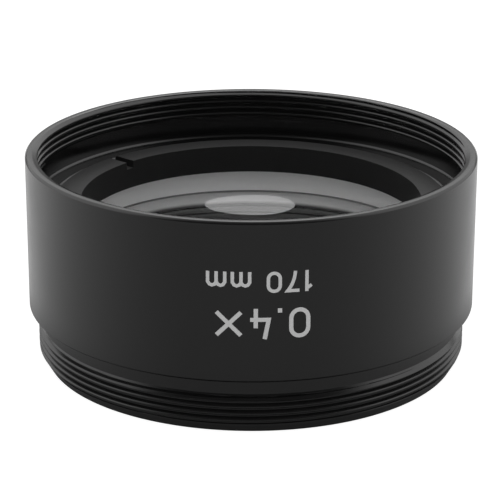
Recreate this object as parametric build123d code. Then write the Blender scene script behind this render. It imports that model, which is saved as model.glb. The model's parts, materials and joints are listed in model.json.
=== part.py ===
from build123d import *
import math
import os

# Supplementary objective of a stereo microscope, standing on its mounting thread.
# The origin is the centre of the thread's end face. +Z is the optical axis, towards the specimen.
# Lengths are millimetres and angles are degrees.

# Threads: one standard size serves the mounting end and the accessory end.
thread_diameter = 48.0
thread_pitch = 0.75
# Minor diameter of a metric thread, in pitches under the major one
minor_drop_in_pitches = 1.0825

# Barrel, radial steps from the thread
relief_depth = 0.35
rim_wall = 0.65
neck_depth = 0.4
ledge_width = 2.35
pocket_step = 1.95

# Barrel, lengths along the axis
mount_thread_length = 3.7
thread_lead_length = 1.47
thread_runout_length = 0.69
neck_length = 2.45
seat_height = 5.5
relief_length = 2.71
accessory_thread_length = 3.2
ring_thread_runout = 0.6

# Barrel, edges
rim_chamfer = 0.24
foot_chamfer = 0.3
mouth_land = 0.6
mouth_depth = 0.22
thread_end_chamfer = 0.85
bore_exit_chamfer = 0.4
relief_corner = 0.25
ring_lead_in = 0.5

# Retaining ring
ring_height = 3.2
ring_stand = 0.42
ring_lap = 1.05
ring_chamfer = 0.25
slot_width = 1.1
slot_depth = 0.85
slot_azimuth = 138.5

# Cemented doublet: a plano-concave crown in front, a plano-convex flint behind
front_radius = 60.0
front_centre_thickness = 2.5
front_land = 0.95
rear_radius = 120.0
rear_edge_thickness = 3.67
seat_width = 1.0
glass_bevel = 0.25

# Fits
thread_clearance = 0.05
lens_clearance = 0.05
seat_clearance = 0.02


def sag(sphere_radius, height):
    """Depth of a spherical face at a given distance from the axis."""
    return sphere_radius - math.sqrt(sphere_radius**2 - height**2)


# Radii that follow from the steps
thread_radius = thread_diameter / 2
thread_minor_radius = thread_radius - minor_drop_in_pitches * thread_pitch / 2
relief_radius = thread_radius + relief_depth
barrel_radius = relief_radius + rim_wall
neck_radius = thread_radius - neck_depth
ring_thread_radius = relief_radius - ledge_width
pocket_radius = ring_thread_radius - pocket_step
lens_radius = pocket_radius - lens_clearance
bore_radius = lens_radius - seat_width
ring_bore_radius = lens_radius - ring_lap
front_aperture_radius = lens_radius - front_land

# Heights that follow from the stack of glass, ring and thread
shoulder_z = mount_thread_length + neck_length
rear_vertex_z = seat_height + seat_clearance - sag(rear_radius, bore_radius)
rear_edge_z = rear_vertex_z + sag(rear_radius, lens_radius)
joint_z = rear_edge_z + rear_edge_thickness
front_vertex_z = joint_z + front_centre_thickness
lens_top_z = front_vertex_z + sag(front_radius, front_aperture_radius)
ring_top_z = lens_top_z + ring_height
ledge_z = ring_top_z - ring_stand
thread_foot_z = ledge_z + relief_length
rim_z = thread_foot_z + accessory_thread_length
ring_thread_foot_z = lens_top_z - ring_thread_runout
mouth_radius = barrel_radius - rim_chamfer - mouth_land


def turned(points):
    """Solid of revolution from a closed outline of (radius, height) points."""
    outline = Polyline(*[(radius, 0, height) for radius, height in points], close=True)
    return revolve(make_face(outline), Axis.Z)


def make_barrel():
    """One turned piece, open from end to end: mounting thread, undercut neck, lens pocket, accessory thread."""
    outside = [
        (thread_radius - thread_end_chamfer, 0),
        (thread_radius, thread_lead_length),
        (thread_radius, mount_thread_length),
        (neck_radius, mount_thread_length + thread_runout_length),
        (neck_radius, shoulder_z - neck_depth),
        (thread_radius, shoulder_z),
        (barrel_radius - foot_chamfer, shoulder_z),
        (barrel_radius, shoulder_z + foot_chamfer),
        (barrel_radius, rim_z - rim_chamfer),
        (barrel_radius - rim_chamfer, rim_z),
    ]
    inside = [
        (mouth_radius, rim_z),
        (thread_minor_radius, rim_z - mouth_depth),
        (thread_minor_radius, thread_foot_z),
        (relief_radius, thread_foot_z),
        (relief_radius, ledge_z + relief_corner),
        (relief_radius - relief_corner, ledge_z),
        (ring_thread_radius + ring_lead_in, ledge_z),
        (ring_thread_radius, ledge_z - ring_lead_in),
        (ring_thread_radius, ring_thread_foot_z),
        (pocket_radius, ring_thread_foot_z),
        (pocket_radius, seat_height),
        (bore_radius, seat_height),
        (bore_radius, bore_exit_chamfer),
        (bore_radius + bore_exit_chamfer, 0),
    ]
    return turned(outside + inside)


def make_retaining_ring():
    """Threaded ring that clamps the glass, with two spanner slots across its face."""
    ring_radius = ring_thread_radius - thread_clearance
    ring = turned([
        (ring_bore_radius, lens_top_z),
        (ring_radius - ring_chamfer, lens_top_z),
        (ring_radius, lens_top_z + ring_chamfer),
        (ring_radius, ring_top_z - ring_chamfer),
        (ring_radius - ring_chamfer, ring_top_z),
        (ring_bore_radius, ring_top_z),
    ])
    slot_cutter = Box(2 * barrel_radius, slot_width, 2 * slot_depth)
    return ring - Pos(0, 0, ring_top_z) * Rot(0, 0, slot_azimuth) * slot_cutter


def glass_sphere(sphere_radius, vertex_z):
    """Ball whose lowest point is a lens face's vertex, turned so that its poles lie off the glass."""
    return Pos(0, 0, vertex_z + sphere_radius) * Rot(90, 0, 0) * Sphere(sphere_radius)


def make_front_lens():
    """Plano-concave element: hollow polished face in front, flat cemented face behind."""
    blank = turned([
        (0, joint_z),
        (lens_radius - glass_bevel, joint_z),
        (lens_radius, joint_z + glass_bevel),
        (lens_radius, lens_top_z - glass_bevel),
        (lens_radius - glass_bevel, lens_top_z),
        (0, lens_top_z),
    ])
    return blank - glass_sphere(front_radius, front_vertex_z)


def make_rear_lens():
    """Plano-convex element: flat cemented face in front, bulging polished face on the seat."""
    bevel_foot_z = rear_vertex_z + sag(rear_radius, lens_radius - glass_bevel)
    bulge = bevel_foot_z - rear_vertex_z
    blank = turned([
        (0, rear_vertex_z),
        (lens_radius - glass_bevel - bulge, rear_vertex_z),
        (lens_radius, bevel_foot_z + glass_bevel),
        (lens_radius, joint_z - glass_bevel),
        (lens_radius - glass_bevel, joint_z),
        (0, joint_z),
    ])
    return blank & glass_sphere(rear_radius, rear_vertex_z)


pieces = {
    "barrel": make_barrel(),
    "retaining_ring": make_retaining_ring(),
    "front_lens": make_front_lens(),
    "rear_lens": make_rear_lens(),
}

os.makedirs("parts", exist_ok=True)
for name, piece in pieces.items():
    export_step(piece, f"parts/{name}.step")
print(f"height {rim_z:.2f} mm, diameter {2 * barrel_radius:.2f} mm")
print(f"lens diameter {2 * lens_radius:.2f} mm, lens face {rim_z - lens_top_z:.2f} mm below the rim")
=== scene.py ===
# %% [markdown]
# A supplementary objective for a stereo microscope: a short black barrel with a thread at each end, holding
# a cemented lens under a slotted ring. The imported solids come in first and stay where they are. Their boxes
# and the record's mounts give the sizes here, so that every new piece drops into place with no fitting.

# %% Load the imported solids
import json
import math
import bmesh
import bpy
from mathutils import Matrix, Vector


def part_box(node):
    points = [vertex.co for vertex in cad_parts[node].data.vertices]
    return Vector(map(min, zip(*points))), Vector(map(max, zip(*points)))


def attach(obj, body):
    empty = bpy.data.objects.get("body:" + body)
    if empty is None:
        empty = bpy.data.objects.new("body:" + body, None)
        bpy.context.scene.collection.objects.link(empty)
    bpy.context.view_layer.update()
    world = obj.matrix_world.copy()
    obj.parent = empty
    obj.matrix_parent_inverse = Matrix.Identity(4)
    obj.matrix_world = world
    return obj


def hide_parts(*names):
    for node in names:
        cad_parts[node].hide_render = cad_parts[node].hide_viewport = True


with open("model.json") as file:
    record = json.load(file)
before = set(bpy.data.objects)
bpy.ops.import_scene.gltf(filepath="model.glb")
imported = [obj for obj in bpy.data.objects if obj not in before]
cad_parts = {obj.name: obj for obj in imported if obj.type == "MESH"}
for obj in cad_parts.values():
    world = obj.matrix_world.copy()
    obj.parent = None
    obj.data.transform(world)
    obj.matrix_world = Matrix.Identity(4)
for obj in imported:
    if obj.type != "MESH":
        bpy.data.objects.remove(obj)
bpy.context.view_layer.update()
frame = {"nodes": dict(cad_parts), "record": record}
print("CAD nodes:", sorted(frame["nodes"]))

# %% [markdown]
# The barrel's section is drawn in millimetres, as on a workshop drawing. The outer sizes are read from the
# solids, the thread sizes from the mounts, and the steps between them are named here once.

# %% Sizes in millimetres
MM = 0.001
barrel_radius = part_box("barrel")[1].x / MM
rim_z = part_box("barrel")[1].z / MM
ring_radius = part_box("retaining_ring")[1].x / MM
ring_top_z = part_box("retaining_ring")[1].z / MM
lens_top_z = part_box("front_lens")[1].z / MM
lens_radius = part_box("front_lens")[1].x / MM
joint_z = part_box("front_lens")[0].z / MM
rear_vertex_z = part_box("rear_lens")[0].z / MM
mounts = {mount["name"]: mount["dims"] for mount in frame["record"]["mounts"]}
thread_radius = mounts["mount_thread"]["r_mm"]
thread_minor_radius = mounts["accessory_thread"]["r_mm"]
print(f"barrel {2 * barrel_radius:.2f} x {rim_z:.2f} mm, threads {2 * thread_radius:.1f} mm")

# %% [markdown]
# Turned parts are all made the same way: a chain of edges in one half-plane, spun once round the optical
# axis. Real edges are never razor sharp, so a narrow bevel follows. Flat faces beside a bevel would shade as
# if they were bent, and a Weighted Normal modifier keeps them flat.

# %% Helpers for turned pieces
STEPS = 256
STEP_ANGLE = 2 * math.pi / STEPS
MERGE_DISTANCE = 0.001 * MM
SHARP_ANGLE = math.radians(20)
CREASE_ANGLE = math.radians(48)


def chain(bm, points):
    """Edges through (radius, height) points in millimetres, in the half-plane y = 0."""
    verts = [bm.verts.new((radius * MM, 0, height * MM)) for radius, height in points]
    edges = [bm.edges.new(pair) for pair in zip(verts, verts[1:])]
    return verts + edges


def turn(bm, geometry, rise=0.0):
    """Spin a chain of edges once round the optical axis, rising by some millimetres for a helix."""
    bmesh.ops.spin(bm, geom=geometry, cent=(0, 0, 0), axis=(0, 0, 1), dvec=(0, 0, rise * MM / STEPS),
                   angle=2 * math.pi, steps=STEPS, use_merge=rise == 0)
    bmesh.ops.remove_doubles(bm, verts=bm.verts, dist=MERGE_DISTANCE)


def soften(bm, width):
    """Round the turned edges by a width in millimetres, as a deburring pass does."""
    edges = [e for e in bm.edges if len(e.link_faces) == 2 and e.calc_face_angle() > SHARP_ANGLE]
    bmesh.ops.bevel(bm, geom=edges, offset=width * MM, offset_type="OFFSET", affect="EDGES",
                    segments=2, profile=0.5, material=-1)


def finished(name, bm):
    """Close the mesh, point its faces outwards and make it an object at the origin."""
    bmesh.ops.remove_doubles(bm, verts=bm.verts, dist=MERGE_DISTANCE)
    bmesh.ops.recalc_face_normals(bm, faces=bm.faces)
    mesh = bpy.data.meshes.new(name)
    bm.to_mesh(mesh)
    bm.free()
    mesh.shade_smooth()
    mesh.set_sharp_from_angle(angle=CREASE_ANGLE)
    piece = bpy.data.objects.new(name, mesh)
    bpy.context.scene.collection.objects.link(piece)
    return piece


def keep_flats_flat(piece):
    """Let large faces set the normals at their edges."""
    modifier = piece.modifiers.new("flat_faces", "WEIGHTED_NORMAL")
    modifier.keep_sharp = True


def place(piece, node, slot):
    """Let the piece stand for a CAD node and hide that node. The slot is not used."""
    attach(piece, "root")
    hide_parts(node)
    print(f"{piece.name}: {len(piece.data.polygons)} faces")


# %% [markdown]
# The barrel is one turned piece. Its two plain runs are spun chains: the outside from the neck's foot over
# the rim into the mouth, and the inside from the relief groove down through the ledge, the lens pocket and
# the bore to the end face. The two threads fill the gaps between them.

# %% Plain runs of the barrel
neck_depth = 0.4
mount_thread_length = 3.7
thread_runout_length = 0.69
neck_length = 2.45
thread_lead_length = 1.47
thread_end_chamfer = 0.85
foot_chamfer = 0.3
rim_chamfer = 0.24
mouth_land = 0.6
mouth_depth = 0.22
relief_depth = 0.35
relief_length = 2.71
relief_corner = 0.25
ledge_width = 2.35
ring_stand = 0.42
ring_lead_in = 0.5
ring_thread_runout = 0.6
pocket_step = 1.95
seat_height = 5.5
seat_width = 1.0
bore_exit_chamfer = 0.4
mark_height = 0.01
edge_round = 0.05

wall_radius = barrel_radius - 2 * mark_height
neck_radius = thread_radius - neck_depth
neck_foot_z = mount_thread_length + thread_runout_length
shoulder_z = mount_thread_length + neck_length
mouth_radius = barrel_radius - rim_chamfer - mouth_land
mouth_width = mouth_radius - thread_minor_radius
relief_radius = thread_radius + relief_depth
ledge_z = ring_top_z - ring_stand
thread_foot_z = ledge_z + relief_length
ring_thread_radius = relief_radius - ledge_width
pocket_radius = ring_thread_radius - pocket_step
bore_radius = lens_radius - seat_width


def lead_radius(height):
    """Cone at the end of the mounting thread."""
    return thread_radius - thread_end_chamfer * (1 - height / thread_lead_length)


def runout_radius(height):
    """Cone where the mounting thread runs out into the neck."""
    return thread_radius - neck_depth * (height - mount_thread_length) / thread_runout_length


def mouth_cone_radius(height):
    """Shallow cone of the mouth, from the rim's land to the crests of the accessory thread."""
    return mouth_radius - mouth_width * (rim_z - height) / mouth_depth


# Both cones carry on a little past the thread's roots, so that the threads end on full circles
thread_margin = 0.05
thread_depth = 0.39
lead_end_z = thread_lead_length * (1 - (thread_depth + thread_margin) / thread_end_chamfer)
mouth_end_z = rim_z - mouth_depth * (mouth_radius - thread_radius - thread_margin) / mouth_width

barrel_mesh = bmesh.new()
turn(barrel_mesh, chain(barrel_mesh, [
    (neck_radius, neck_foot_z),
    (neck_radius, shoulder_z - neck_depth),
    (thread_radius, shoulder_z),
    (wall_radius - foot_chamfer, shoulder_z),
    (wall_radius, shoulder_z + foot_chamfer),
    (wall_radius, rim_z - rim_chamfer),
    (wall_radius - rim_chamfer, rim_z),
    (mouth_radius, rim_z),
    (mouth_cone_radius(mouth_end_z), mouth_end_z),
]))
turn(barrel_mesh, chain(barrel_mesh, [
    (relief_radius, thread_foot_z),
    (relief_radius, ledge_z + relief_corner),
    (relief_radius - relief_corner, ledge_z),
    (ring_thread_radius + ring_lead_in, ledge_z),
    (ring_thread_radius, ledge_z - ring_lead_in),
    (ring_thread_radius, lens_top_z - ring_thread_runout),
    (pocket_radius, lens_top_z - ring_thread_runout),
    (pocket_radius, seat_height),
    (bore_radius, seat_height),
    (bore_radius, bore_exit_chamfer),
    (bore_radius + bore_exit_chamfer, 0),
    (lead_radius(0), 0),
    (lead_radius(lead_end_z), lead_end_z),
]))
soften(barrel_mesh, edge_round)
print("plain runs of the barrel:", len(barrel_mesh.faces), "faces")

# %% [markdown]
# A thread is a V groove that climbs one pitch in each turn. One pitch of it, from crest to crest, is spun
# once with a rise, and copies of that turn are stacked a pitch apart. Each vertex is then held between the
# ends of the thread and inside the cones there, so that the crests fade out along the lead and the groove
# along the run-out, as on a turned part. What lies past an end falls onto one circle, which closes against
# the plain runs. Dye and oxide leave the crests a little rounded, which gives them their bright lines.

# %% One pitch of a thread
thread_pitch = 0.75
flank_angle = math.radians(30)
crest_round = 0.05


def thread_profile(groove_z, crest_radius, root_radius, crest_flat):
    """Points of one pitch, with the groove in the middle and half a crest at each end."""
    depth = crest_radius - root_radius
    root_half = (thread_pitch - crest_flat) / 2 - abs(depth) * math.tan(flank_angle)
    corner = (thread_pitch - crest_flat) / 2
    flank_point = crest_radius - math.copysign(crest_round * math.cos(flank_angle), depth)
    upper = [
        (root_radius, root_half),
        (flank_point, corner - crest_round * math.sin(flank_angle)),
        (crest_radius, corner + crest_round),
        (crest_radius, thread_pitch / 2),
    ]
    lower = [(radius, -height) for radius, height in reversed(upper)]
    return [(radius, groove_z + height) for radius, height in lower + upper]


# %% Turns of a thread
# Longest edge of a thread's section, short enough to follow the cones
thread_detail = 0.06
# Whole turns past each end of a thread, so that its climb leaves no gap there
TURNS_BELOW = 2
TURNS_ABOVE = 1


def thread_turns(profile, low_z, high_z, held):
    """Mesh of a helical thread that starts on the +X side, held to a radius by a function."""
    bm = bmesh.new()
    wires = [item for item in chain(bm, profile) if isinstance(item, bmesh.types.BMEdge)]
    for wire in wires:
        cuts = math.floor(wire.calc_length() / (thread_detail * MM))
        if cuts:
            bmesh.ops.subdivide_edges(bm, edges=[wire], cuts=cuts)
    turn(bm, bm.verts[:] + bm.edges[:], rise=thread_pitch)
    one_turn = bm.verts[:] + bm.edges[:] + bm.faces[:]
    start_z = profile[0][1]
    first = math.floor((low_z - start_z) / thread_pitch) - TURNS_BELOW
    last = math.ceil((high_z - start_z) / thread_pitch) + TURNS_ABOVE
    for lift in range(first, last):
        copy = bmesh.ops.duplicate(bm, geom=one_turn)["geom"]
        copy_verts = [item for item in copy if isinstance(item, bmesh.types.BMVert)]
        bmesh.ops.translate(bm, verts=copy_verts, vec=(0, 0, lift * thread_pitch * MM))
    bmesh.ops.delete(bm, geom=one_turn, context="VERTS")
    for vert in bm.verts:
        azimuth = round(math.atan2(vert.co.y, vert.co.x) / STEP_ANGLE) * STEP_ANGLE
        height = min(max(vert.co.z / MM, low_z), high_z)
        radius = held(vert.co.xy.length / MM, height)
        vert.co = Vector((radius * math.cos(azimuth), radius * math.sin(azimuth), height)) * MM
    bmesh.ops.remove_doubles(bm, verts=bm.verts, dist=MERGE_DISTANCE)
    bmesh.ops.dissolve_degenerate(bm, edges=bm.edges, dist=MERGE_DISTANCE / 10)
    mesh = bpy.data.meshes.new("thread")
    bm.to_mesh(mesh)
    bm.free()
    return mesh


# %% The two threads
# Height at which the mounting groove ends on the run-out, and the length over which it fades
groove_end_z = 4.17
groove_fade = 0.15


def hold_mounting(radius, height):
    """The mounting thread lies inside the cones at its ends, and its groove fades out over the run-out."""
    outside = min(thread_radius, lead_radius(height), runout_radius(height))
    depth_left = thread_depth * min(max((groove_end_z - height) / groove_fade, 0), 1)
    return max(min(radius, outside), outside - depth_left)


def hold_accessory(radius, height):
    """The accessory thread lies outside the mouth's cone and steps out to the relief groove."""
    if height <= thread_foot_z:
        return relief_radius
    return max(radius, mouth_cone_radius(height))


# Heights of a groove on the +X side, and the flats that the crests keep
mounting_groove_z = 3.61
mounting_crest_flat = 0.2
accessory_groove_z = 21.795
accessory_crest_flat = thread_pitch / 4
mounting_profile = thread_profile(
    mounting_groove_z, thread_radius, thread_radius - thread_depth, mounting_crest_flat)
accessory_profile = thread_profile(
    accessory_groove_z, thread_minor_radius, thread_radius, accessory_crest_flat)
threads = [
    thread_turns(mounting_profile, lead_end_z, neck_foot_z, hold_mounting),
    thread_turns(accessory_profile, thread_foot_z, mouth_end_z, hold_accessory),
]
for mesh in threads:
    barrel_mesh.from_mesh(mesh)
    print("thread:", len(mesh.polygons), "faces")
    bpy.data.meshes.remove(mesh)
barrel = finished("barrel_turned", barrel_mesh)
keep_flats_flat(barrel)
place(barrel, "barrel", "black_anodised_barrel")

# %% [markdown]
# The retaining ring is turned too, and then a slitting saw cuts two spanner slots across its face. One long
# box cuts both slots at once, as the saw does, with a Boolean modifier that is applied straight away.

# %% The turned ring
ring_lap = 1.05
ring_chamfer = 0.25
ring_edge_round = 0.02
ring_bore_radius = lens_radius - ring_lap

ring_mesh = bmesh.new()
ring_points = [
    (ring_bore_radius, lens_top_z),
    (ring_radius - ring_chamfer, lens_top_z),
    (ring_radius, lens_top_z + ring_chamfer),
    (ring_radius, ring_top_z - ring_chamfer),
    (ring_radius - ring_chamfer, ring_top_z),
    (ring_bore_radius, ring_top_z),
]
turn(ring_mesh, chain(ring_mesh, ring_points + ring_points[:1]))
soften(ring_mesh, ring_edge_round)
retaining_ring = finished("retaining_ring_slotted", ring_mesh)
print("turned ring:", len(retaining_ring.data.polygons), "faces")

# %% The spanner slots
slot_width = 1.1
slot_depth = 0.85
slot_azimuth = math.radians(138.5)

saw_mesh = bmesh.new()
bmesh.ops.create_cube(saw_mesh, size=1)
saw_size = Vector((2 * barrel_radius, slot_width, 2 * slot_depth)) * MM
saw_turn = Matrix.Rotation(slot_azimuth, 3, "Z")
bmesh.ops.scale(saw_mesh, vec=saw_size, verts=saw_mesh.verts)
bmesh.ops.rotate(saw_mesh, cent=(0, 0, 0), matrix=saw_turn, verts=saw_mesh.verts)
bmesh.ops.translate(saw_mesh, vec=(0, 0, ring_top_z * MM), verts=saw_mesh.verts)
saw = finished("saw", saw_mesh)
cut = retaining_ring.modifiers.new("slots", "BOOLEAN")
cut.object = saw
cut.solver = "EXACT"
slotted = bpy.data.meshes.new_from_object(
    retaining_ring.evaluated_get(bpy.context.evaluated_depsgraph_get()))
retaining_ring.modifiers.clear()
retaining_ring.data = slotted
slotted.set_sharp_from_angle(angle=CREASE_ANGLE)
bpy.data.objects.remove(saw)
keep_flats_flat(retaining_ring)
place(retaining_ring, "retaining_ring", "black_anodised_ring")

# %% [markdown]
# The glass is a cemented pair. A polished face is an arc about its centre of curvature, and spinning one
# vertex about that centre draws it exactly. The faces have four finishes: polished, the finely ground edge
# that light shows as grey, the cemented joint, where nothing is seen at all, and the bevels beside the
# joint, which make a groove full of cement and draw a thin dark line round the glass.

# %% One lens element
glass_bevel = 0.25
ARC_STEPS = 40
POLISHED, GROUND, CEMENTED, JOINT_BEVEL = range(4)


def polished_arc(bm, curvature, vertex_z, half_width):
    """Spin a vertex on the axis out to a half-width, about a centre of curvature above it."""
    start = bm.verts.new((0, 0, vertex_z * MM))
    swing = -math.asin(half_width / curvature)
    bmesh.ops.spin(bm, geom=[start], cent=(0, 0, (vertex_z + curvature) * MM), axis=(0, 1, 0),
                   dvec=(0, 0, 0), angle=swing, steps=ARC_STEPS)
    return bm.verts[:] + bm.edges[:]


def lens_element(name, curvature, vertex_z, half_width, rest):
    """Spin the arc and the rest of the section, and give each face its finish."""
    bm = bmesh.new()
    arc = polished_arc(bm, curvature, vertex_z, half_width)
    arc_end = max(bm.verts, key=lambda vert: vert.co.x)
    edges = chain(bm, rest)
    edges.append(bm.edges.new((arc_end, edges[0])))
    turn(bm, arc + edges)
    for face in bm.faces:
        centre = face.calc_center_median()
        flat_joint = all(abs(vert.co.z - joint_z * MM) < MERGE_DISTANCE for vert in face.verts)
        beside_joint = abs(centre.z / MM - joint_z) < glass_bevel
        on_arc = centre.xy.length < half_width * MM
        edge_finish = JOINT_BEVEL if beside_joint else GROUND
        face.material_index = CEMENTED if flat_joint else POLISHED if on_arc else edge_finish
    return finished(name, bm)


# %% The two lens elements
front_radius = 60.0
front_land = 0.95
rear_radius = 120.0

front_aperture_radius = lens_radius - front_land
front_sag = front_radius - math.sqrt(front_radius**2 - front_aperture_radius**2)
front_vertex_z = lens_top_z - front_sag
front_lens = lens_element("front_lens_polished", front_radius, front_vertex_z, front_aperture_radius, [
    (lens_radius - glass_bevel, lens_top_z),
    (lens_radius, lens_top_z - glass_bevel),
    (lens_radius, joint_z + glass_bevel),
    (lens_radius - glass_bevel, joint_z),
    (0, joint_z),
])
rear_polish_radius = lens_radius - glass_bevel
rear_sag = rear_radius - math.sqrt(rear_radius**2 - rear_polish_radius**2)
rear_lens = lens_element("rear_lens_polished", rear_radius, rear_vertex_z, rear_polish_radius, [
    (lens_radius, rear_vertex_z + rear_sag + glass_bevel),
    (lens_radius, joint_z - glass_bevel),
    (lens_radius - glass_bevel, joint_z),
    (0, joint_z),
])
place(front_lens, "front_lens", "crown_glass")
place(rear_lens, "rear_lens", "flint_glass")

# %% [markdown]
# The marks on the barrel are plain numbers, a magnification and a working distance, and they read the right
# way up when the objective hangs from its thread. A laser draws each figure as strokes of one width, so the
# figures are chains of edges here too: they are raised to a low wall, and a Solidify modifier in its complex
# mode gives the wall the width of the stroke, also where strokes meet. The result is sliced into narrow
# strips so that it can bend, and each vertex is wrapped round the wall.

# %% Strokes of the figures
STROKE_STEPS = 10
STROKE_SHARES = [step / STROKE_STEPS for step in range(STROKE_STEPS + 1)]
# Open strokes run past the centre line's box by about half a stroke, as a laser spot does
STROKE_END = 0.08


def round_stroke(centre_x, centre_y, radius, start, stop):
    """Points of an arc, with its angles in degrees."""
    angles = [math.radians(start + (stop - start) * share) for share in STROKE_SHARES]
    return [(centre_x + radius * math.cos(angle), centre_y + radius * math.sin(angle)) for angle in angles]


def bent_stroke(start, control, stop):
    """Points of a curve from start to stop that leaves and arrives along the lines to a control point."""
    points = []
    for share in STROKE_SHARES:
        near = Vector(start).lerp(Vector(control), share)
        points.append(tuple(near.lerp(Vector(control).lerp(Vector(stop), share), share)))
    return points


zero_bend = 0.31
zero_loop = round_stroke(zero_bend, 1 - zero_bend, zero_bend, 0, 180)
zero_loop += round_stroke(zero_bend, zero_bend, zero_bend, 180, 360)
arch_width = 0.45
arch = [(0, 0.5), (0.09, 0.64), (0.225, 0.69), (0.36, 0.64), (arch_width, 0.5), (arch_width, -STROKE_END)]
# Strokes on a centre line one unit high, with each figure's left edge at zero
FIGURES = {
    "0": [zero_loop + zero_loop[:1]],
    "1": [[(0.26, 1 + STROKE_END), (0.26, 0.92), (0.26, -STROKE_END)], [(0.26, 0.92), (0.0, 0.74)]],
    "4": [[(0.14, 1 + STROKE_END), (0.0, 0.34), (0.46, 0.34), (0.66, 0.34)],
          [(0.46, 0.66), (0.46, 0.34), (0.46, -STROKE_END)]],
    "7": [[(0.0, 1), *bent_stroke((0.62, 1), (0.26, 0.55), (0.22, -STROKE_END))]],
    ".": [[(0.08, -STROKE_END), (0.08, STROKE_END)]],
    "×": [[(0, 0.06), (0.44, 0.5), (0.88, 0.94)], [(0, 0.94), (0.44, 0.5), (0.88, 0.06)]],
    "m": [[(0, -STROKE_END), *arch], [(x + arch_width, y) for x, y in arch]],
}
print("figures drawn as strokes:", " ".join(FIGURES))

# %% A line of figures, still flat


def stroke_mesh(words, cap_height, stroke, gap):
    """Flat mesh of a line of figures, in millimetres, with its lower left corner at the origin."""
    size = cap_height - stroke
    bm = bmesh.new()
    left = stroke / 2
    for figure in words:
        width = stroke
        for line in FIGURES.get(figure, []):
            verts = [bm.verts.new((left + x * size, stroke / 2 + y * size, 0)) for x, y in line]
            for pair in zip(verts, verts[1:]):
                bm.edges.new(pair)
            width = max(width, max(x for x, y in line) * size)
        left += width + stroke + gap
    bmesh.ops.remove_doubles(bm, verts=bm.verts, dist=stroke / 100)
    walls = bmesh.ops.extrude_edge_only(bm, edges=bm.edges[:])["geom"]
    wall_verts = [item for item in walls if isinstance(item, bmesh.types.BMVert)]
    bmesh.ops.translate(bm, vec=(0, 0, 2 * mark_height), verts=wall_verts)
    lines = finished("strokes", bm)
    weight = lines.modifiers.new("weight", "SOLIDIFY")
    weight.solidify_mode = "NON_MANIFOLD"
    weight.nonmanifold_thickness_mode = "EVEN"
    weight.thickness = stroke
    weight.offset = 0
    mesh = bpy.data.meshes.new_from_object(lines.evaluated_get(bpy.context.evaluated_depsgraph_get()))
    bpy.data.objects.remove(lines)
    return mesh


# %% The laser-marked numbers
STRIP_WIDTH = 0.25
SLICE_TOLERANCE = 1e-6
wall_front = math.radians(-90)


def wrapped_mark(name, words, cap_height, stroke, gap, baseline_z, middle_x):
    """Figures wrapped on the barrel's front, upside down, half sunk in the wall, in millimetres."""
    flat = stroke_mesh(words, cap_height, stroke, gap)
    bm = bmesh.new()
    bm.from_mesh(flat)
    bpy.data.meshes.remove(flat)
    low = min(vert.co.x for vert in bm.verts)
    high = max(vert.co.x for vert in bm.verts)
    for strip in range(1, math.ceil((high - low) / STRIP_WIDTH)):
        bmesh.ops.bisect_plane(bm, geom=bm.verts[:] + bm.edges[:] + bm.faces[:], dist=SLICE_TOLERANCE,
                               plane_co=(low + strip * STRIP_WIDTH, 0, 0), plane_no=(1, 0, 0))
    shift = middle_x + (low + high) / 2
    for vert in bm.verts:
        azimuth = wall_front + (shift - vert.co.x) / barrel_radius
        radius = wall_radius - mark_height + vert.co.z
        height = baseline_z - vert.co.y
        vert.co = Vector((radius * math.cos(azimuth), radius * math.sin(azimuth), height)) * MM
    mark = finished(name, bm)
    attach(mark, "root")
    print(f"{name}: {high - low:.2f} mm wide, {len(mark.data.polygons)} faces")
    return mark


marks = [
    wrapped_mark("magnification_mark", "0.4×", cap_height=3.3, stroke=0.44, gap=0.5,
                 baseline_z=14.4, middle_x=1.25),
    wrapped_mark("working_distance_mark", "170 mm", cap_height=2.3, stroke=0.35, gap=0.42,
                 baseline_z=18.4, middle_x=0.9),
]

# %% [markdown]
# Every finish is a small node tree, with its patterns on Object coordinates. One function turns sRGB hex
# colours to linear, and one adds a node with its settings and links.

# %% Helpers for materials


def srgb(code):
    """Linear colour of an sRGB hex code."""
    channels = [int(code[place:place + 2], 16) / 255 for place in (1, 3, 5)]
    linear = [c / 12.92 if c <= 0.04045 else ((c + 0.055) / 1.055) ** 2.4 for c in channels]
    return (*linear, 1.0)


def add_node(tree, kind, settings=None, links=None):
    """Add a node, set its properties and constant inputs, and link the other inputs."""
    node = tree.nodes.new(kind)
    for name, value in (settings or {}).items():
        if isinstance(name, int) or name in node.inputs:
            node.inputs[name].default_value = value
        else:
            setattr(node, name, value)
    for name, socket in (links or {}).items():
        tree.links.new(socket, node.inputs[name])
    return node


def new_material(name):
    """An empty material and its node tree."""
    material = bpy.data.materials.new(name)
    material.use_nodes = True
    material.node_tree.nodes.clear()
    return material, material.node_tree


def per_mm(size):
    """Texture scale for a feature of some millimetres."""
    return 1 / (size * MM)


# %% [markdown]
# The barrel is turned aluminium, blasted to a fine satin and anodised black. The dyed oxide is a clear thin
# layer over black, so it acts as a dark dielectric: almost no colour from the front, and a soft grey sheen
# at a slant. The grain of the blasting is finer than a pixel, and is drawn just coarse enough to break up
# the sheen.

# %% Satin black anodising
GRAIN_SIZE = 0.22
GRAIN_DEPTH = 0.01
# Gloss wanders a little over patches of this size, between the usual low and high of the noise
GLOSS_PATCH = 4.0
GLOSS_CHANGE = 0.03
NOISE_LOW = 0.3
NOISE_HIGH = 0.7


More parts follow.
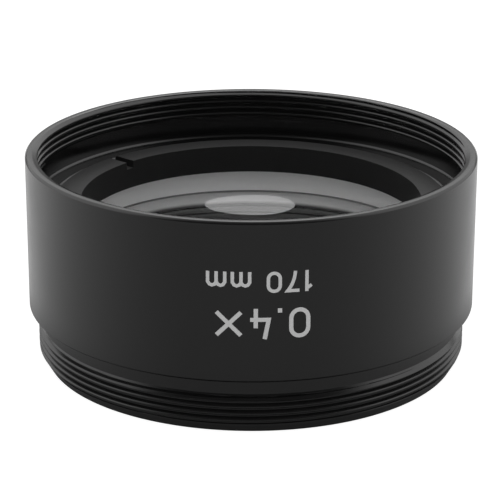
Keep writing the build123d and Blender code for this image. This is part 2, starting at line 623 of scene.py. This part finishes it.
def satin_black_anodising(name, colour, roughness, ior):
    """Black dye under a sealed oxide layer, with a blasted grain."""
    material, tree = new_material(name)
    place_on = add_node(tree, "ShaderNodeTexCoord").outputs["Object"]
    grain = add_node(tree, "ShaderNodeTexNoise", {"Scale": per_mm(GRAIN_SIZE), "Detail": 3.0},
                     {"Vector": place_on})
    cloud = add_node(tree, "ShaderNodeTexNoise", {"Scale": per_mm(GLOSS_PATCH), "Detail": 2.0},
                     {"Vector": place_on})
    rough = add_node(tree, "ShaderNodeMapRange",
                     {"From Min": NOISE_LOW, "From Max": NOISE_HIGH,
                      "To Min": roughness - GLOSS_CHANGE, "To Max": roughness + GLOSS_CHANGE},
                     {"Value": cloud.outputs["Fac"]})
    bump = add_node(tree, "ShaderNodeBump", {"Strength": 0.12, "Distance": GRAIN_DEPTH * MM},
                    {"Height": grain.outputs["Fac"]})
    shader = add_node(tree, "ShaderNodeBsdfPrincipled", {"Base Color": srgb(colour), "IOR": ior},
                      {"Roughness": rough.outputs["Result"], "Normal": bump.outputs["Normal"]})
    add_node(tree, "ShaderNodeOutputMaterial", links={"Surface": shader.outputs["BSDF"]})
    return material


barrel.data.materials.append(
    satin_black_anodising("satin_black_anodised_aluminium", "#0f0f0f", roughness=0.2, ior=1.8))
print(barrel.name, [slot.name for slot in barrel.material_slots])

# %% [markdown]
# The ring is duller than the barrel. Its faced top is matt and a little paler, and its bore and slots are
# darker, partly blackened further against stray light and partly painted shade, so each face takes one of two
# finishes by the way it points.

# %% Finishes of the ring
FLAT_NORMAL = 0.99
MATT, DEAD_BLACK_AND_PAINTED_SHADE = range(2)
retaining_ring.data.materials.clear()
for finish in (
    satin_black_anodising("matt_black_anodised_aluminium", "#393939", roughness=0.55, ior=1.4),
    satin_black_anodising("dead_black_anodised_and_painted_shade", "#222222", roughness=0.6, ior=1.3),
):
    retaining_ring.data.materials.append(finish)
# Upright faces take the darker finish, which is partly painted shade
for face in retaining_ring.data.polygons:
    face.material_index = MATT if face.normal.z > FLAT_NORMAL else DEAD_BLACK_AND_PAINTED_SHADE
print(retaining_ring.name, [slot.name for slot in retaining_ring.material_slots])

# %% [markdown]
# Optical glass is clear and polished on the faces that work. The rim of each element is ground with fine
# grit, which scatters the light inside the glass and shows as a grey band, and painted shade darkens its foot
# towards the seat, where little light reaches. The cement has the glass's own index, so the joint between the
# two elements can't be seen, and its faces are left fully clear. Only the cement in the groove beside the
# joint is grey.

# %% Glass
GLASS_IOR = 1.52
GRIT_SIZE = 0.3
SEAT_SHADE = 1.4


def optical_glass(name):
    """Clear polished glass."""
    material, tree = new_material(name)
    shader = add_node(tree, "ShaderNodeBsdfPrincipled",
                      {"Base Color": srgb("#fdfdfd"), "Roughness": 0.0, "IOR": GLASS_IOR,
                       "Transmission Weight": 1.0})
    add_node(tree, "ShaderNodeOutputMaterial", links={"Surface": shader.outputs["BSDF"]})
    return material


def ground_glass(name, dark, pale):
    """Edge ground with fine grit, which scatters light back into the glass, with painted shade darkening it
    towards the seat.
    """
    material, tree = new_material(name)
    place_on = add_node(tree, "ShaderNodeTexCoord").outputs["Object"]
    grit = add_node(tree, "ShaderNodeTexNoise", {"Scale": per_mm(GRIT_SIZE), "Detail": 2.0},
                    {"Vector": place_on})
    shade = add_node(tree, "ShaderNodeMix", {"data_type": "RGBA", "A": srgb(dark), "B": srgb(pale)},
                     {"Factor": grit.outputs["Fac"]})
    split = add_node(tree, "ShaderNodeSeparateXYZ", links={"Vector": place_on})
    # Painted shade: the edge goes over to near black within SEAT_SHADE millimetres of the seat, where little
    # light reaches
    painted_seat_shade = add_node(tree, "ShaderNodeMapRange",
                   {"interpolation_type": "SMOOTHSTEP", "From Min": seat_height * MM,
                    "From Max": (seat_height + SEAT_SHADE) * MM}, {"Value": split.outputs["Z"]})
    # Near black of the painted shade at the seat
    shade = add_node(tree, "ShaderNodeMix", {"data_type": "RGBA", "A": srgb("#101010")},
                     {"Factor": painted_seat_shade.outputs["Result"], "B": shade.outputs["Result"]})
    shader = add_node(tree, "ShaderNodeBsdfPrincipled", {"Roughness": 0.9, "IOR": 1.1},
                      {"Base Color": shade.outputs["Result"]})
    add_node(tree, "ShaderNodeOutputMaterial", links={"Surface": shader.outputs["BSDF"]})
    return material


def optical_cement():
    """Clear joint with the index of the glass."""
    material, tree = new_material("optical_cement")
    shader = add_node(tree, "ShaderNodeBsdfPrincipled", {"Alpha": 0.0, "Roughness": 0.0})
    add_node(tree, "ShaderNodeOutputMaterial", links={"Surface": shader.outputs["BSDF"]})
    return material


shared_finishes = [
    ground_glass("ground_glass_edge_with_painted_seat_shade", "#f2f2f2", "#fafafa"),
    optical_cement(),
    ground_glass("cement_filled_bevel", "#787878", "#828282"),
]
for lens, glass in ((front_lens, "polished_crown_glass"), (rear_lens, "polished_flint_glass")):
    for finish in [optical_glass(glass), *shared_finishes]:
        lens.data.materials.append(finish)
    print(lens.name, [slot.name for slot in lens.material_slots])

# %% [markdown]
# A laser burns the dye out of the oxide and leaves a pale, dull grey. It writes in close passes, so the grey
# is a little uneven at their spacing.

# %% Laser mark
PASS_SPACING = 0.15


def laser_mark():
    """Bleached oxide, a little uneven from the laser's passes."""
    material, tree = new_material("laser_bleached_oxide")
    place_on = add_node(tree, "ShaderNodeTexCoord").outputs["Object"]
    passes = add_node(tree, "ShaderNodeTexNoise", {"Scale": per_mm(PASS_SPACING), "Detail": 1.0},
                      {"Vector": place_on})
    shade = add_node(tree, "ShaderNodeMix",
                     {"data_type": "RGBA", "A": srgb("#dedede"), "B": srgb("#ececec")},
                     {"Factor": passes.outputs["Fac"]})
    shader = add_node(tree, "ShaderNodeBsdfPrincipled", {"Roughness": 0.7, "IOR": 1.3},
                      {"Base Color": shade.outputs["Result"]})
    add_node(tree, "ShaderNodeOutputMaterial", links={"Surface": shader.outputs["BSDF"]})
    return material


mark_finish = laser_mark()
for mark in marks:
    mark.data.materials.append(mark_finish)
    print(mark.name, [slot.name for slot in mark.material_slots])

# %% [markdown]
# The floor is white paper, lit from behind. It keeps the object's shadow through its diffuse part, and a
# glow for the rays that look at it, straight, by reflection or through glass, lifts it to the white of the
# background. A black wall shows nothing but what it mirrors, so for reflections the glow fans out from full
# behind the object to none in front of it, as the light does. The fan opens from half a radius in front of
# the axis, because the mirror image in a round wall seems to start from there. It fades towards the object's
# foot, and under the object nothing glows.

# %% Fan of light on the floor
FLOOR_SIZE = 3.0
FAN_GLOW = 0.52
FAN_START = -0.9
FAN_END = 0.5
FAN_POWER = 1.5
SHADE_END = 42.0
floor_mesh = bmesh.new()
bmesh.ops.create_grid(floor_mesh, x_segments=1, y_segments=1, size=FLOOR_SIZE)
floor = finished("floor", floor_mesh)
paper, tree = new_material("white_paper")
place_on = add_node(tree, "ShaderNodeTexCoord").outputs["Object"]
from_fan = add_node(tree, "ShaderNodeVectorMath", {"operation": "ADD", 1: (0, barrel_radius / 2 * MM, 0)},
                    {0: place_on})
spoke = add_node(tree, "ShaderNodeVectorMath", {"operation": "NORMALIZE"}, {0: from_fan.outputs["Vector"]})
bearing = add_node(tree, "ShaderNodeSeparateXYZ", links={"Vector": spoke.outputs["Vector"]})
fan = add_node(tree, "ShaderNodeMapRange", {"From Min": FAN_START, "From Max": FAN_END},
               {"Value": bearing.outputs["Y"]})
fan = add_node(tree, "ShaderNodeMath", {"operation": "POWER", 1: FAN_POWER}, {0: fan.outputs["Result"]})
fan = add_node(tree, "ShaderNodeMath", {"operation": "MULTIPLY", 1: FAN_GLOW}, {0: fan.outputs["Value"]})
distance = add_node(tree, "ShaderNodeVectorMath", {"operation": "LENGTH"}, {0: place_on})
shade = add_node(tree, "ShaderNodeMapRange",
                 {"interpolation_type": "SMOOTHSTEP",
                  "From Min": thread_radius * MM, "From Max": SHADE_END * MM},
                 {"Value": distance.outputs["Value"]})
fan = add_node(tree, "ShaderNodeMath", {"operation": "MULTIPLY"},
               {0: fan.outputs["Value"], 1: shade.outputs["Result"]})
print(f"floor {2 * FLOOR_SIZE:.1f} m wide, shaded to {SHADE_END:.0f} mm from the axis")

# %% White paper
GLOW = 0.92
path = add_node(tree, "ShaderNodeLightPath")
mirrored = add_node(tree, "ShaderNodeMath", {"operation": "MULTIPLY"},
                    {0: path.outputs["Is Glossy Ray"], 1: fan.outputs["Value"]})
seen = add_node(tree, "ShaderNodeMath", {"operation": "ADD", "use_clamp": True},
                {0: path.outputs["Is Camera Ray"], 1: path.outputs["Is Transmission Ray"]})
lift = add_node(tree, "ShaderNodeMath", {"operation": "MULTIPLY_ADD", 1: GLOW},
                {0: seen.outputs["Value"], 2: mirrored.outputs["Value"]})
open_floor = add_node(tree, "ShaderNodeMath", {"operation": "GREATER_THAN", 1: lead_radius(0) * MM},
                      {0: distance.outputs["Value"]})
lift = add_node(tree, "ShaderNodeMath", {"operation": "MULTIPLY"},
                {0: lift.outputs["Value"], 1: open_floor.outputs["Value"]})
glow = add_node(tree, "ShaderNodeEmission", links={"Strength": lift.outputs["Value"]})
matt = add_node(tree, "ShaderNodeBsdfDiffuse", {"Color": srgb("#919191")})
both = add_node(tree, "ShaderNodeAddShader", links={0: matt.outputs["BSDF"], 1: glow.outputs["Emission"]})
add_node(tree, "ShaderNodeOutputMaterial", links={"Surface": both.outputs["Shader"]})
floor.data.materials.append(paper)
print("floor finish:", paper.name)

# %% [markdown]
# The object stands in a white tent, which lights it evenly from all sides. Black things are lit by what they
# mirror, so for reflections the tent is bright from the back to overhead, with a lamp behind it and a dark
# strip along the floor, and it is dark in front, round the camera. The camera always sees plain white behind
# the object, and so does the glass, a little stronger, because the lens gathers light. Each zone of the tent
# is a step in how far a direction reaches along an axis.

# %% Zones of the tent
FRONT_AXIS = (0, 1, -0.58)
FRONT_DARK = -0.9
FRONT_BRIGHT = -0.42
FRONT_SHARE = 0.05
STRIP_AXIS = (0.3, 0, 1)
STRIP_DARK = 0.25
STRIP_BRIGHT = 0.3
STRIP_SHARE = 0.25
LAMP_AXIS = (0.02, 0.745, 0.667)
LAMP_CORE = math.radians(11)
LAMP_EDGE = math.radians(14)
world = bpy.data.worlds.new("white_tent")
bpy.context.scene.world = world
world.use_nodes = True
tree = world.node_tree
tree.nodes.clear()
direction = add_node(tree, "ShaderNodeTexCoord").outputs["Generated"]


def tent_zone(vector, axis, dark_at, bright_at, dark_share):
    """Share of light, from dark to bright between two values of a direction's part along an axis."""
    part = add_node(tree, "ShaderNodeVectorMath", {"operation": "DOT_PRODUCT", 1: axis}, {0: vector})
    zone = add_node(tree, "ShaderNodeMapRange",
                    {"interpolation_type": "SMOOTHSTEP", "From Min": dark_at, "From Max": bright_at,
                     "To Min": dark_share, "To Max": 1.0}, {"Value": part.outputs["Value"]})
    return zone.outputs["Result"]


both_sides = add_node(tree, "ShaderNodeVectorMath", {"operation": "ABSOLUTE"}, {0: direction})
front = tent_zone(direction, FRONT_AXIS, FRONT_DARK, FRONT_BRIGHT, FRONT_SHARE)
strip = tent_zone(both_sides.outputs["Vector"], STRIP_AXIS, STRIP_DARK, STRIP_BRIGHT, STRIP_SHARE)
lamp = tent_zone(direction, LAMP_AXIS, math.cos(LAMP_EDGE), math.cos(LAMP_CORE), 0)
print("zones of the tent:", world.name, len(tree.nodes), "nodes")

# %% Light for each kind of ray
TENT_LEVEL = 1.0
GLASS_LEVEL = 1.5
LAMP_LEVEL = 1.8
panels = add_node(tree, "ShaderNodeMath", {"operation": "MULTIPLY"}, {0: front, 1: strip})
panels = add_node(tree, "ShaderNodeMath", {"operation": "MULTIPLY_ADD", 1: LAMP_LEVEL},
                  {0: lamp, 2: panels.outputs["Value"]})
path = add_node(tree, "ShaderNodeLightPath")
mirrored = add_node(tree, "ShaderNodeMix", {"data_type": "FLOAT", "A": TENT_LEVEL},
                    {"Factor": path.outputs["Is Glossy Ray"], "B": panels.outputs["Value"]})
through = add_node(tree, "ShaderNodeMix", {"data_type": "FLOAT", "B": GLASS_LEVEL},
                   {"Factor": path.outputs["Is Transmission Ray"], "A": mirrored.outputs["Result"]})
level = add_node(tree, "ShaderNodeMix", {"data_type": "FLOAT", "B": 1.0},
                 {"Factor": path.outputs["Is Camera Ray"], "A": through.outputs["Result"]})
sky = add_node(tree, "ShaderNodeBackground", links={"Strength": level.outputs["Result"]})
add_node(tree, "ShaderNodeOutputWorld", links={"Surface": sky.outputs["Background"]})
print(f"tent {TENT_LEVEL}, lamp {LAMP_LEVEL}, seen through glass {GLASS_LEVEL}")

# %% [markdown]
# The camera stands where the photograph was taken: a long lens a little above the rim. Its place and angles
# were fitted to the outlines of the rim, the wall and the foot.

# %% Camera
SENSOR_WIDTH = 36
FOCAL_LENGTH = 155.63
CLIP_START = 0.01
eye = Vector((0.232, -228.982, 94.261)) * MM
pitch = 0.34587
roll = 0.0022
yaw = -0.0015
forward = Vector((math.sin(yaw) * math.cos(pitch), math.cos(yaw) * math.cos(pitch), -math.sin(pitch)))
level_right = Vector((math.cos(yaw), -math.sin(yaw), 0))
level_up = level_right.cross(forward)
right = math.cos(roll) * level_right + math.sin(roll) * level_up
up = math.cos(roll) * level_up - math.sin(roll) * level_right
camera = bpy.data.objects.new("camera", bpy.data.cameras.new("camera"))
camera.data.sensor_width = SENSOR_WIDTH
camera.data.lens = FOCAL_LENGTH
camera.data.clip_start = CLIP_START
camera.matrix_world = Matrix.Translation(eye) @ Matrix((right, up, -forward)).transposed().to_4x4()
bpy.context.scene.collection.objects.link(camera)
bpy.context.scene.camera = camera
bpy.context.scene.view_settings.view_transform = "Standard"
print(f"camera {eye.length / MM:.0f} mm from the foot, looking down {math.degrees(pitch):.1f} degrees")
